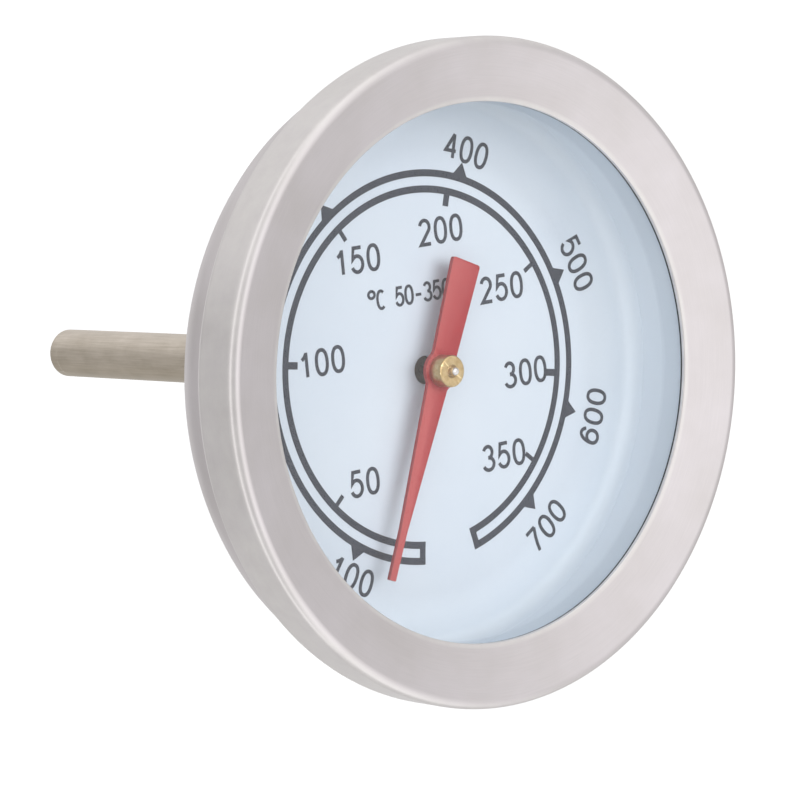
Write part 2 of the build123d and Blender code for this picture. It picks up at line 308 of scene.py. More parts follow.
def ring_vertices(mesh_data, radius, y, segments):
    """A ring of vertices about the stem axis, or one vertex on the axis."""
    if radius < TOUCH:
        return [mesh_data.verts.new((0, y * MM, 0))]
    angles = [2 * pi * step / segments for step in range(segments)]
    return [
        mesh_data.verts.new((radius * sin(a) * MM, y * MM, radius * cos(a) * MM)) for a in angles
    ]


def vertex_at(mesh_data, radius, y, angle):
    """A vertex at a height y along the stem axis, at an angle clockwise from the top."""
    x, z = at_clock(radius, angle)
    return mesh_data.verts.new((x * MM, y * MM, z * MM))


def bridge(mesh_data, this, that):
    """Faces between two rings of vertices. Either may be a single vertex."""
    count = max(len(this), len(that))
    if count == 1:
        return
    for step in range(count):
        following = (step + 1) % count
        corners = []
        for ring, steps in ((this, (step, following)), (that, (following, step))):
            corners += ring if len(ring) == 1 else [ring[index] for index in steps]
        mesh_data.faces.new(corners)


def lathe(name, profile, segments=SEGMENTS):
    """A closed (radius, y) outline turned about the stem axis."""
    turned = bmesh.new()
    rings = [ring_vertices(turned, radius, y, segments) for radius, y in profile]
    for this, that in zip(rings, rings[1:] + rings[:1]):
        bridge(turned, this, that)
    return finish_mesh(name, turned)


def holds(polygon, x, y):
    """Whether a point is inside a polygon."""
    inside = False
    for (ax, ay), (bx, by) in zip(polygon, polygon[1:] + polygon[:1]):
        if (ay > y) != (by > y) and x < ax + (bx - ax) * (y - ay) / (by - ay):
            inside = not inside
    return inside


def joined(polygons):
    """Points and triangles that cover what any of the polygons covers, once."""
    points, faces = [], []
    for polygon in polygons:
        faces.append(list(range(len(points), len(points) + len(polygon))))
        points += [Vector(point) for point in polygon]
    points, _, triangles, *_ = delaunay_2d_cdt(points, [], faces, 0, TOUCH, False)
    kept = []
    for triangle in triangles:
        corners = [points[index] for index in triangle]
        x, y = sum(corners, Vector((0, 0))) / len(corners)
        if any(holds(polygon, x, y) for polygon in polygons):
            kept.append(triangle)
    return points, kept


def plate(name, groups, front, back, turn=0.0):
    """A flat sheet in the dial plane, between two y levels. The polygons of each group are joined."""
    sheet = bmesh.new()
    for polygons in groups:
        points, triangles = joined(polygons)
        levels = []
        for y in (front, back):
            levels.append([sheet.verts.new((x * MM, y * MM, z * MM)) for x, z in points])
        edges = {pair for face in triangles for pair in zip(face, face[1:] + face[:1])}
        for face in triangles:
            sheet.faces.new([levels[0][index] for index in face])
            sheet.faces.new([levels[1][index] for index in reversed(face)])
        for a, b in edges:
            if (b, a) not in edges:
                sheet.faces.new((levels[0][b], levels[0][a], levels[1][a], levels[1][b]))
    loose = [vertex for vertex in sheet.verts if not vertex.link_faces]
    bmesh.ops.delete(sheet, geom=loose, context="VERTS")
    sheet.transform(Matrix.Rotation(radians(turn), 4, "Y"))
    return finish_mesh(name, sheet)


def soften(piece, width, angle=40):
    """Rounds the corners of a piece a little, so that they catch the light."""
    bevel = piece.modifiers.new("soft_edges", "BEVEL")
    bevel.width = width * MM
    bevel.segments = 2
    bevel.limit_method = "ANGLE"
    bevel.angle_limit = radians(angle)
    bevel.harden_normals = True
    return piece


# ------------------------------------------------------------------ drawing

def oval(centre, radii, start, end, square=1.0):
    """Points along an oval between two angles from +x towards +y. Square fills out its corners."""
    points = []
    steps = max(6, ceil(abs(end - start) / OVAL_STEP))
    for step in range(steps + 1):
        angle = radians(start + (end - start) * step / steps)
        x, y = (copysign(abs(part) ** (1 / square), part) for part in (cos(angle), sin(angle)))
        points.append((centre[0] + radii[0] * x, centre[1] + radii[1] * y))
    return points


# The strokes of each letter, in a box one wide and one high. The star stands for the degree sign.
GLYPHS = {
    "0": [oval((0.5, 0.5), (0.5, 0.5), 90, 450, 1.15)],
    "1": [[(0.62, 0), (0.62, 1)], [(0.62, 0.97), (0.46, 0.82), (0.2, 0.71)]],
    "2": [oval((0.5, 0.72), (0.46, 0.28), 165, -28) + [(0.04, 0), (1, 0)]],
    "3": [
        oval((0.46, 0.755), (0.42, 0.245), 160, -90),
        oval((0.46, 0.265), (0.52, 0.265), 90, -160),
    ],
    "4": [[(0.74, 0), (0.74, 1)], [(0.74, 1), (0, 0.3), (1, 0.3)]],
    "5": [[(0.92, 1), (0.2, 1)] + oval((0.46, 0.33), (0.52, 0.33), 142, -158)],
    "6": [
        oval((0.5, 0.32), (0.48, 0.32), 90, 450, 1.05),
        oval((0.54, 0.38), (0.53, 0.62), 183, 40),
    ],
    "7": [[(0, 1), (1, 1)], [(0.98, 0.99), (0.66, 0.62), (0.47, 0.3), (0.36, 0)]],
    "C": [oval((0.55, 0.5), (0.52, 0.5), 50, 310, 1.1)],
    "*": [oval((0.6, 0.86), (0.44, 0.2), 90, 450)],
    "-": [[(0.1, 0.42), (0.9, 0.42)]],
}


def ribbon(path, width):
    """Quads along a path, mitred where it turns. A path that ends where it starts is closed."""
    points = [Vector(point) for point in path]
    closed = (points[0] - points[-1]).length < TOUCH
    if closed:
        padded = [points[-2], *points[:-1], points[0], points[1]]
    else:
        padded = [2 * points[0] - points[1], *points, 2 * points[-1] - points[-2]]
    sides = []
    for before, point, after in zip(padded, padded[1:], padded[2:]):
        ahead = (after - point).normalized()
        mean = (ahead + (point - before).normalized()).normalized()
        side = Vector((-mean.y, mean.x)) * (width / 2 / max(0.4, mean.dot(ahead)))
        sides.append((point + side, point - side))
    return [(a[0], a[1], b[1], b[0]) for a, b in zip(sides, sides[1:])]


def draw_letter(letter, place, size, stroke, turn=0.0):
    """The quads of a letter about its centre, turned clockwise."""
    c, s = cos(radians(turn)), sin(radians(turn))
    quads = []
    for path in GLYPHS[letter]:
        drawn = [((x - 0.5) * size[0], (y - 0.5) * size[1]) for x, y in path]
        quads += ribbon([(x * c + y * s + place[0], y * c - x * s + place[1]) for x, y in drawn], stroke)
    return quads


def draw_line(text, place, size, pitch, stroke):
    """One group of quads for each letter of a level line of text about its centre."""
    groups = []
    for index, letter in enumerate(text):
        shift = (index - (len(text) - 1) / 2) * pitch
        if letter in GLYPHS:
            groups.append(draw_letter(letter, (place[0] + shift, place[1]), size, stroke))
    return groups


def draw_on_arc(number, radius, angle):
    """A group for each digit of a number along the scale, feet down in either half of the dial."""
    below = abs(angle) > 90
    spread = degrees(NUMERAL_PITCH / radius) * (-1 if below else 1)
    digits = str(number)
    groups = []
    for index, digit in enumerate(digits):
        at = angle + (index - (len(digits) - 1) / 2) * spread
        turn = at + (180 if below else 0)
        groups.append(draw_letter(digit, at_clock(radius, at), NUMERAL, NUMERAL_STROKE, turn))
    return groups


def draw_band():
    """The double line round the scale, closed at its ends, with its marks and arrows."""
    inner, outer = SCALE_BANDS
    polygons = []
    start, end = SCALE_ENDS
    sweep = [start + (end - start) * step / BAND_STEPS for step in range(BAND_STEPS + 1)]
    for low, high in SCALE_BANDS:
        polygons += ribbon([at_clock((low + high) / 2, angle) for angle in sweep], high - low)
    bar = inner[1] - inner[0]
    inset = degrees(bar / 2 / inner[1])
    for angle in (start + inset, end - inset):
        polygons += ribbon([at_clock(inner[0], angle), at_clock(outer[1], angle)], bar)
    for value, angle in CELSIUS_MARKS.items():
        width = TICK_WIDTH if value % 100 == 0 else MINOR_TICK_WIDTH
        tip = at_clock(inner[0] - TICK_LENGTH, angle)
        polygons += ribbon([at_clock(inner[0] + bar / 2, angle), tip], width)
    for angle in FAHRENHEIT_MARKS.values():
        half = degrees(ARROW_WIDTH / 2 / outer[1])
        base = outer[1] - bar / 4
        feet = [at_clock(base, angle - half), at_clock(base, angle + half)]
        polygons.append((*feet, at_clock(outer[1] + ARROW_HEIGHT, angle)))
    return polygons


def draw_scale():
    """Everything printed on the dial: the band, the numbers and the small note."""
    groups = [draw_band()]
    for value, (radius, angle) in CELSIUS_LABELS.items():
        groups += draw_line(str(value), at_clock(radius, angle), NUMERAL, NUMERAL_PITCH, NUMERAL_STROKE)
    for value, (radius, angle) in FAHRENHEIT_LABELS.items():
        groups += draw_on_arc(value, radius, angle)
    return groups + draw_line(NOTE_TEXT, NOTE_PLACE, NOTE_LETTER, NOTE_PITCH, NOTE_STROKE)


def arm(near, far, length, corner, *knees):
    """The outline of one arm of the pointer: from a fillet at the hub, by its knees, to its length."""
    reach = POINTER_HUB + WAIST_ROUND
    centre = Vector((near + WAIST_ROUND, sqrt(reach**2 - (near + WAIST_ROUND) ** 2)))
    first = centre * (POINTER_HUB / reach) - centre
    last = Vector((-WAIST_ROUND, 0))
    side = []
    for step in range(WAIST_STEPS + 1):
        side.append(tuple(centre + WAIST_ROUND * first.slerp(last, step / WAIST_STEPS)))
    side += [(near, POINTER_HUB), *knees]
    side += oval((far - corner, length - corner), (corner, corner), 0, 90)
    return side + [(-x, y) for x, y in reversed(side)]


def draw_pointer():
    """The pointer with its tip up: the hub round the bush, the long arm and the tail."""
    hub = oval((0, 0), [(POINTER_HUB + POINTER_HOLE) / 2] * 2, 0, 360)
    tail = arm(TAIL_WAIST_HALF_WIDTH, TAIL_HALF_WIDTH, POINTER_TAIL, TAIL_CORNER)
    return [
        *ribbon(hub, POINTER_HUB - POINTER_HOLE),
        arm(BLADE_HALF_WIDTH, TIP_HALF_WIDTH, POINTER_TIP, TIP_CORNER, NEEDLE),
        [(x, -y) for x, y in tail],
    ]


# ------------------------------------------------------------------ materials

def srgb(red, green, blue):
    """A colour given as it looks on a screen, 0 to 255, as the linear values that a shader takes."""
    linear = [
        c / 12.92 if c <= 0.04045 else ((c + 0.055) / 1.055) ** 2.4
        for c in (red / 255, green / 255, blue / 255)
    ]
    return (*linear, 1.0)


class Nodes:
    """The node tree of a material or a world."""

    def __init__(self, owner):
        owner.use_nodes = True
        self.tree = owner.node_tree
        self.nodes = self.tree.nodes

    def add(self, kind, inputs=None, output=0, **settings):
        """Adds a node, with its inputs set or linked by name or number, and returns an output."""
        node = self.nodes.new("ShaderNode" + kind)
        for key, value in settings.items():
            setattr(node, key, value)
        for key, value in (inputs or {}).items():
            self.feed(node.inputs[key], value)
        return node.outputs[output]

    def feed(self, socket, value):
        """Links a value to a socket where it is an output, and sets it where it is a plain one."""
        if isinstance(value, bpy.types.NodeSocket):
            self.tree.links.new(value, socket)
        else:
            socket.default_value = value

    def math(self, operation, *values):
        return self.add("Math", dict(enumerate(values)), operation=operation)

    def span(self, value, low, high, start=0.3, end=0.7, **settings):
        """A value that runs from start to end, brought to run from low to high."""
        limits = {"From Min": start, "From Max": end, "To Min": low, "To Max": high}
        return self.add("MapRange", {"Value": value, **limits}, **settings)


class Paint(Nodes):
    """A material made of nodes round one Principled shader."""

    def __init__(self, name, **uniform):
        self.material = bpy.data.materials.new(name)
        super().__init__(self.material)
        self.shader = self.nodes["Principled BSDF"]
        self.place = self.add("TexCoord", output="Object")
        self.set(**uniform)

    def set(self, **values):
        """Sets or links inputs of the shader: base_color is its "Base Color", and so on."""
        for key, value in values.items():
            name = key.replace("_", " ").title().replace("Ior", "IOR")
            self.feed(self.shader.inputs[name], value)
        return self

    def stretched(self, x, y, z):
        """Object coordinates in millimetres, each times its own factor."""
        scale = {0: self.place, 1: (x / MM, y / MM, z / MM)}
        return self.add("VectorMath", scale, operation="MULTIPLY")

    def round_place(self):
        """The x, y and z of the place, and its distance from the stem axis."""
        parts = self.nodes.new("ShaderNodeSeparateXYZ")
        self.feed(parts.inputs[0], self.place)
        squares = [self.math("MULTIPLY", parts.outputs[i], parts.outputs[i]) for i in (0, 2)]
        return *parts.outputs, self.math("SQRT", self.math("ADD", *squares))

    def turned_marks(self, across, along):
        """Coordinates for marks left by turning: fine across the marks, long round the axis."""
        x, y, z, radius = self.round_place()
        first = self.math("MULTIPLY", self.math("ADD", radius, y), across / MM)
        second = self.math("MULTIPLY", x, along / MM)
        third = self.math("MULTIPLY", z, along / MM)
        return self.add("CombineXYZ", {0: first, 1: second, 2: third})

    def noise(self, vector, detail=3.0, roughness=0.5):
        values = {"Vector": vector, "Scale": 1.0, "Detail": detail, "Roughness": roughness}
        return self.add("TexNoise", values)

    def ramp(self, value, *stops):
        """Colours by value, from (position, colour) stops."""
        node = self.nodes.new("ShaderNodeValToRGB")
        self.feed(node.inputs[0], value)
        elements = node.color_ramp.elements
        for element, (position, colour) in zip(elements, (stops[0], stops[-1])):
            element.position, element.color = position, colour
        for position, colour in stops[1:-1]:
            elements.new(position).color = colour
        return node.outputs[0]

    def mix(self, share, first, second, blend="MIX"):
        """Two colours mixed, with that share of the second."""
        node = self.nodes.new("ShaderNodeMix")
        node.data_type, node.blend_type = "RGBA", blend
        for key, value in ((0, share), (6, first), (7, second)):
            self.feed(node.inputs[key], value)
        return node.outputs[2]

    def worn(self, colour, edge_colour, low=0.53, high=0.6):
        """The colour, gone to edge_colour along the piece's convex edges."""
        pointiness = self.add("NewGeometry", output="Pointiness")
        return self.mix(self.span(pointiness, 0.0, 1.0, low, high), colour, edge_colour)

    def bump(self, height, distance):
        """A bump of that distance in millimetres."""
        return self.add("Bump", {"Height": height, "Distance": distance * MM, "Strength": 1.0})


def satin_steel():
    """Stainless sheet, faintly brushed round the ring and mottled, with painted highlights on lip and
    corner.
    """
    paint = Paint("satin_steel_sheet", metallic=1.0)
    marks = paint.noise(paint.turned_marks(14.0, 0.25), detail=4.0, roughness=0.6)
    mottle = paint.noise(paint.stretched(0.16, 0.16, 0.16), detail=4.0)
    smudges = paint.noise(paint.stretched(0.5, 0.5, 0.5), detail=5.0, roughness=0.65)
    colour = paint.ramp(mottle, (0.3, srgb(223, 217, 217)), (0.7, srgb(231, 225, 227)))
    grain = paint.ramp(marks, (0.3, srgb(250, 250, 250)), (0.7, srgb(255, 255, 255)))
    colour = paint.mix(1.0, colour, grain, "MULTIPLY")
    radius = paint.round_place()[3]
    # Painted highlights: the lip's round and the bezel's rounded corner are lighter, patchy with the
    # smudges.
    lip = paint.span(radius, 1.0, 0.0, *(edge * MM for edge in LIP_HIGHLIGHT))
    corner = paint.span(radius, 0.0, 1.0, *(edge * MM for edge in CORNER_HIGHLIGHT))
    painted_highlight = paint.math("MULTIPLY", paint.math("MAXIMUM", lip, corner), smudges)
    paint.set(base_color=paint.mix(painted_highlight, colour, srgb(243, 240, 237)))
    rough = paint.math("ADD", paint.span(marks, -0.02, 0.02), paint.span(smudges, 0.34, 0.39))
    return paint.set(roughness=rough, normal=paint.bump(marks, 0.0006)).material


def stem_steel():
    """Drawn tube with lengthwise grain and cloudy patches, and painted shading: lighter on top, darker
    below.
    """
    paint = Paint("drawn_stem_steel", metallic=1.0)
    grain = paint.noise(paint.stretched(9.0, 0.18, 9.0), detail=4.0, roughness=0.6)
    clouds = paint.noise(paint.stretched(0.55, 0.3, 0.55), detail=5.0, roughness=0.6)
    # Painted shading: a darker colour below and a lighter one on top, mixed by the height over the stem
    # axis.
    painted_shade_colour = paint.ramp(clouds, (0.3, srgb(186, 175, 157)), (0.7, srgb(204, 193, 178)))
    painted_light_colour = paint.ramp(clouds, (0.3, srgb(222, 211, 198)), (0.7, srgb(240, 230, 219)))
    height = paint.span(paint.round_place()[2], 0.0, 1.0, *(edge * MM for edge in STEM_PAINTED_SHADE))
    colour = paint.mix(height, painted_shade_colour, painted_light_colour)
    lines = paint.ramp(grain, (0.3, srgb(232, 230, 226)), (0.7, srgb(255, 255, 255)))
    colour = paint.mix(1.0, colour, lines, "MULTIPLY")
    paint.set(base_color=paint.worn(colour, srgb(222, 216, 206)))
    rough = paint.math("ADD", paint.span(grain, -0.04, 0.04), paint.span(clouds, 0.34, 0.44))
    return paint.set(roughness=rough, normal=paint.bump(grain, 0.002)).material


def turned_steel():
    """Bright turned steel of the bushing, with oil stains deep in its marks."""
    paint = Paint("turned_bushing_steel", metallic=1.0)
    marks = paint.noise(paint.turned_marks(22.0, 0.1), detail=3.0)
    stains = paint.noise(paint.stretched(0.8, 0.8, 0.8), detail=5.0, roughness=0.6)
    colour = paint.ramp(stains, (0.35, srgb(176, 172, 164)), (0.65, srgb(204, 202, 198)))
    paint.set(base_color=paint.worn(colour, srgb(232, 231, 228)))
    rough = paint.math("ADD", paint.span(marks, -0.04, 0.04), paint.span(stains, 0.36, 0.26))
    return paint.set(roughness=rough, normal=paint.bump(marks, 0.002)).material


def plated_steel():
    """Zinc plate on the nut and washers: a cool grey with faint yellow clouds and rubbed edges."""
    paint = Paint("zinc_plate", metallic=1.0)
    clouds = paint.noise(paint.stretched(0.45, 0.45, 0.45), detail=5.0, roughness=0.6)
    grain = paint.noise(paint.stretched(6.0, 6.0, 6.0), detail=3.0)
    colour = paint.ramp(
        clouds,
        (0.3, srgb(178, 184, 190)),
        (0.55, srgb(204, 206, 204)),
        (0.75, srgb(208, 203, 186)),
    )
    paint.set(base_color=paint.worn(colour, srgb(235, 236, 236)))
    rough = paint.math("ADD", paint.span(grain, -0.04, 0.04), paint.span(clouds, 0.32, 0.42))
    return paint.set(roughness=rough, normal=paint.bump(grain, 0.004)).material


def dial_enamel():
    """Pale blue-white coating with a soft orange peel and a faint cloud, and painted light: lighter
    towards the wall.
    """
    paint = Paint("dial_coating", coat_weight=0.15, coat_roughness=0.2)
    cloud = paint.noise(paint.stretched(0.07, 0.07, 0.07), detail=3.0)
    peel = paint.noise(paint.stretched(2.2, 2.2, 2.2), detail=2.0)
    specks = paint.noise(paint.stretched(12.0, 12.0, 12.0), detail=2.0)
    # Painted light: lighter at the dial's rim and on the well's wall, to lift the shade that the bezel
    # casts there.
    middle = paint.ramp(cloud, (0.3, srgb(191, 200, 211)), (0.7, srgb(197, 205, 214)))
    rim = paint.ramp(cloud, (0.3, srgb(216, 226, 236)), (0.7, srgb(222, 231, 240)))
    outwards = paint.span(paint.round_place()[3], 0.0, 1.0, *(edge * MM for edge in DIAL_PAINTED_LIGHT))
    colour = paint.mix(outwards, middle, rim)
    tint = paint.ramp(specks, (0.3, srgb(250, 250, 250)), (0.6, srgb(255, 255, 255)))
    paint.set(base_color=paint.mix(1.0, colour, tint, "MULTIPLY"))
    return paint.set(roughness=paint.span(peel, 0.38, 0.46), normal=paint.bump(peel, 0.004)).material


def dial_ink():
    """Screen print in slate grey, slightly uneven in density."""
    paint = Paint("dial_ink", specular_ior_level=0.25)
    density = paint.noise(paint.stretched(1.6, 1.6, 1.6), detail=4.0)
    grain = paint.noise(paint.stretched(14.0, 14.0, 14.0), detail=2.0)
    paint.set(base_color=paint.ramp(density, (0.3, srgb(30, 33, 44)), (0.7, srgb(44, 47, 58))))
    return paint.set(roughness=paint.span(density, 0.5, 0.6), normal=paint.bump(grain, 0.003)).material


def pointer_red():
    """Matt red lacquer over sheet metal, thinner along the edges."""
    paint = Paint("red_lacquer", specular_ior_level=0.15)
    cloud = paint.noise(paint.stretched(0.5, 0.5, 0.5), detail=4.0)
    peel = paint.noise(paint.stretched(5.0, 5.0, 5.0), detail=3.0)
    colour = paint.ramp(cloud, (0.3, srgb(146, 28, 34)), (0.7, srgb(155, 34, 40)))
    paint.set(base_color=paint.worn(colour, srgb(172, 76, 76), 0.54, 0.66))
    return paint.set(roughness=paint.span(cloud, 0.42, 0.52), normal=paint.bump(peel, 0.004)).material


def turned_brass():
    """Brass with turning marks and a few dull spots."""
    paint = Paint("turned_brass", metallic=1.0)
    marks = paint.noise(paint.turned_marks(26.0, 0.2), detail=3.0)
    spots = paint.noise(paint.stretched(2.0, 2.0, 2.0), detail=5.0, roughness=0.65)
    colour = paint.ramp(spots, (0.35, srgb(172, 142, 92)), (0.65, srgb(202, 176, 130)))
    paint.set(base_color=paint.worn(colour, srgb(240, 218, 166)))
    rough = paint.math("ADD", paint.span(marks, -0.05, 0.05), paint.span(spots, 0.4, 0.28))
    return paint.set(roughness=rough, normal=paint.bump(marks, 0.004)).material


def bright_steel():
    """Ground spindle steel, bright, with fine marks round it."""
    paint = Paint("ground_spindle_steel", metallic=1.0)
    marks = paint.noise(paint.turned_marks(30.0, 0.3), detail=3.0)
    paint.set(base_color=paint.ramp(marks, (0.3, srgb(214, 206, 202)), (0.7, srgb(236, 228, 224))))
    return paint.set(roughness=paint.span(marks, 0.16, 0.26), normal=paint.bump(marks, 0.001)).material


def sintered_bronze():
    """Oil-soaked sintered bronze of the guide bushes, open-grained, and dark: partly as such bronze is,
    partly as painted shade in the dial's hole.
    """
    paint = Paint("sintered_bronze", metallic=0.6)
    pores = paint.noise(paint.stretched(9.0, 9.0, 9.0), detail=4.0, roughness=0.7)
    # Very dark brown, partly painted shade for the dial's hole, where the upper bush shows.
    colour = paint.ramp(pores, (0.35, srgb(48, 42, 40)), (0.65, srgb(88, 74, 62)))
    paint.set(base_color=colour, roughness=paint.span(pores, 0.75, 0.5))
    return paint.set(normal=paint.bump(pores, 0.02)).material


def bimetal_strip():
    """Rolled bimetal, with lengthwise rolling marks and a light heat tint."""
    paint = Paint("rolled_bimetal", metallic=1.0)
    tint = paint.noise(paint.stretched(0.3, 0.3, 0.3), detail=4.0)
    marks = paint.noise(paint.turned_marks(12.0, 0.5), detail=3.0)
    paint.set(base_color=paint.ramp(tint, (0.3, srgb(168, 158, 138)), (0.7, srgb(196, 182, 160))))
    return paint.set(roughness=paint.span(marks, 0.3, 0.42), normal=paint.bump(marks, 0.003)).material


def silicone():
    """Gasket silicone with a dusty bloom, darkened to near black as painted shade for the shadow gap
    under the bezel's lip.
    """
    paint = Paint("gasket_painted_shade")
    bloom = paint.noise(paint.stretched(1.4, 1.4, 1.4), detail=4.0)
    # Near black: painted shade along the gap under the lip.
    paint.set(base_color=paint.ramp(bloom, (0.3, srgb(40, 41, 43)), (0.7, srgb(62, 63, 65))))
    return paint.set(roughness=paint.span(bloom, 0.5, 0.65), normal=paint.bump(bloom, 0.004)).material


def clear_glass():
    """Flat window glass, with the faintest wipe marks on its faces."""
    tint = (0.985, 0.995, 1.0, 1.0)
    paint = Paint("window_glass", base_color=tint, transmission_weight=1.0, ior=1.5)
    wipes = paint.noise(paint.stretched(0.12, 0.12, 0.5), detail=4.0, roughness=0.6)
    return paint.set(roughness=paint.span(wipes, 0.0, 0.006, 0.45, 0.75)).material


def floor_paint():
    """Pale matt floor with a hardly visible tooth, and a glow of its own that makes it white."""
    paint = Paint("pale_floor", specular_ior_level=0.1)
    paint.set(emission_color=(1, 1, 1, 1), emission_strength=0.5)
    tooth = paint.noise(paint.stretched(0.02, 0.02, 0.02), detail=4.0)
    paint.set(base_color=paint.ramp(tooth, (0.3, srgb(246, 246, 246)), (0.7, srgb(250, 250, 250))))
    return paint.set(roughness=paint.span(tooth, 0.8, 0.9)).material


# ------------------------------------------------------------------ pieces

def low_y(node):
    """Where a CAD node starts along the stem axis, towards the front, in millimetres."""
    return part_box(node)[0].y / MM


def high_y(node):
    """Where a CAD node ends along the stem axis, in millimetres."""
    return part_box(node)[1].y / MM


def outer_radius(node):
    """The outer radius of a CAD node that is round about the stem axis, in millimetres."""
    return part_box(node)[1].x / MM


def stand_for(piece, node, material):
    """The piece stands for a CAD node, rides where the node rode, and takes a material."""
    piece.data.materials.append(material)
    flat = piece.modifiers.new("flat_faces", "WEIGHTED_NORMAL")
    flat.keep_sharp = True
    flat.weight = 100
    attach(piece, frame["nodes"][node]["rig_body"])
    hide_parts(node)
    return piece


def bezel_profile():
    """The bezel: its lip round the window, the dished face, and the band with its crimp."""
    radius, crimp = outer_radius("bezel_ring"), high_y("bezel_ring")
    lip_back = low_y("glass_lens") - GASKET_THICKNESS
    return rounded(
        (WINDOW_RADIUS, lip_back, 0.04),
        (WINDOW_RADIUS, lip_back - LIP_SHEET, LIP_ROUND),
        (radius, -CORNER_HEIGHT, CORNER_ROUND),
        (radius, -CORNER_HEIGHT + CORNER_DEPTH, 1.2),
        (radius - BAND_TAPER, low_y("case_back"), 0.9),
        (radius - CRIMP_STEP, crimp, 0.25),
        (CRIMP_RADIUS, crimp, 0.1),
        (CRIMP_RADIUS, crimp - CRIMP_SHEET, 0.05),
        (POCKET_RADIUS, crimp - CRIMP_SHEET, 0.05),
        (POCKET_RADIUS, -INNER_CORNER_HEIGHT, 0.1),
        (SEAT_RADIUS, lip_back, 0.2),
    )


def case_profile():
    """The drawn cup: its flat back, its rounded corner and its out-turned rim."""
    radius, rim_top = outer_radius("case_back"), low_y("case_back")
    return rounded(
        (CASE_HOLE, 0, 0.15),
        (CASE_RADIUS, 0, CASE_CORNER),
        (CASE_RADIUS, rim_top + SHEET, 0.2),
        (radius, rim_top + SHEET, 0.15),
        (radius, rim_top, 0.15),
        (CASE_RADIUS - SHEET, rim_top, 0.4),
        (CASE_RADIUS - SHEET, -SHEET, CASE_CORNER - SHEET),
        (CASE_HOLE, -SHEET, 0.1),
    )


def lens_profile():
    """The flat window, with its edge taken off."""
    back, front, radius = high_y("glass_lens"), low_y("glass_lens"), outer_radius("glass_lens")
    return rounded((0, back, 0), (radius, back, 0.2), (radius, front, 0.2), (0, front, 0))


def spacer_profile():
    """The pale wall between the dial and the window, with its foot on the case's rim."""
    front, back = low_y("spacer_ring"), high_y("spacer_ring")
    rim = low_y("case_back")
    return rounded(
        (WELL_RADIUS, back, 0.1),
        (WELL_RADIUS + SHEET, back, 0.1),
        (WELL_RADIUS + SHEET, rim, 0.3),
        (outer_radius("spacer_ring"), rim, 0.1),
        (outer_radius("spacer_ring"), front, 0.1),
        (WELL_RADIUS, front, 0.3),
    )


def dial_profile():
    """The dial pan, with its hole, its rounded corner and its upturned rim."""
    face, back, rim = -DIAL_HEIGHT, high_y("dial_plate"), low_y("dial_plate")
    outer = outer_radius("dial_plate")
    return rounded(
        (DIAL_HOLE, back, 0.06),
        (DIAL_HOLE, face, 0.12),
        (WELL_RADIUS, face, DIAL_CORNER),
        (WELL_RADIUS, rim, 0.08),
        (outer, rim, 0.08),
        (outer, back, DIAL_CORNER + DIAL_SHEET),
    )


def tube_profile():
    """The stem tube: a thinner neck inside the bushing, then the stem at its full size."""
    front, end = low_y("stem_tube"), high_y("stem_tube")
    shoulder, radius = high_y("stem_bushing"), outer_radius("stem_tube")
    return rounded(
        (STEM_BORE, front, 0),
        (STEM_NECK, front, 0),
        (STEM_NECK, shoulder, 0),
        (radius, shoulder, 0.05),
        (radius, end, 0.02),
        (STEM_BORE, end, 0),
    )


def plug_profile():
    """The closed end of the stem, with its spigot inside the tube."""
    spigot, end = low_y("stem_end_plug"), high_y("stem_end_plug")
    seam, radius = high_y("stem_tube"), outer_radius("stem_end_plug")
    return rounded(
        (0, spigot, 0),
        (STEM_BORE, spigot, 0.1),
        (STEM_BORE, seam, 0),
        (radius, seam, 0.02),
        (radius, end, 0.4),
        (0, end, 0),
    )


def spindle_profile():
    """The spindle, with its rounded front end."""
    front, end, radius = low_y("spindle"), high_y("spindle"), outer_radius("spindle")
    return rounded((0, end, 0), (radius, end, 0.1), (radius, front, 0.22), (0, front, 0))


def bush_profile():
    """The pointer's brass bush, dished round the spindle where it is staked."""
    foot, front = high_y("pointer_bush"), low_y("pointer_bush")
    radius, shoulder = outer_radius("pointer_bush"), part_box("pointer")[0].y / MM
    return rounded(
        (BUSH_BORE, foot, 0),
        (POINTER_HOLE, foot, 0.08),
        (POINTER_HOLE, shoulder, 0),
        (radius, shoulder, 0.08),
        (radius, front, 0.14),
        (BUSH_BORE + BUSH_DISH, front, 0.05),
        (BUSH_BORE + BUSH_BURR, front + BUSH_DISH, 0.02),
        (BUSH_BORE, front + BUSH_DISH, 0),
    )


def washer_profile():
    """The flat washer, stamped: rounder at the side that the punch met first."""
    start, end, radius = low_y("panel_washer"), high_y("panel_washer"), outer_radius("panel_washer")
    return rounded(
        (WASHER_BORE, start, 0.06),
        (radius, start, 0.22),
        (radius, end, 0.1),
        (WASHER_BORE, end, 0.12),
    )


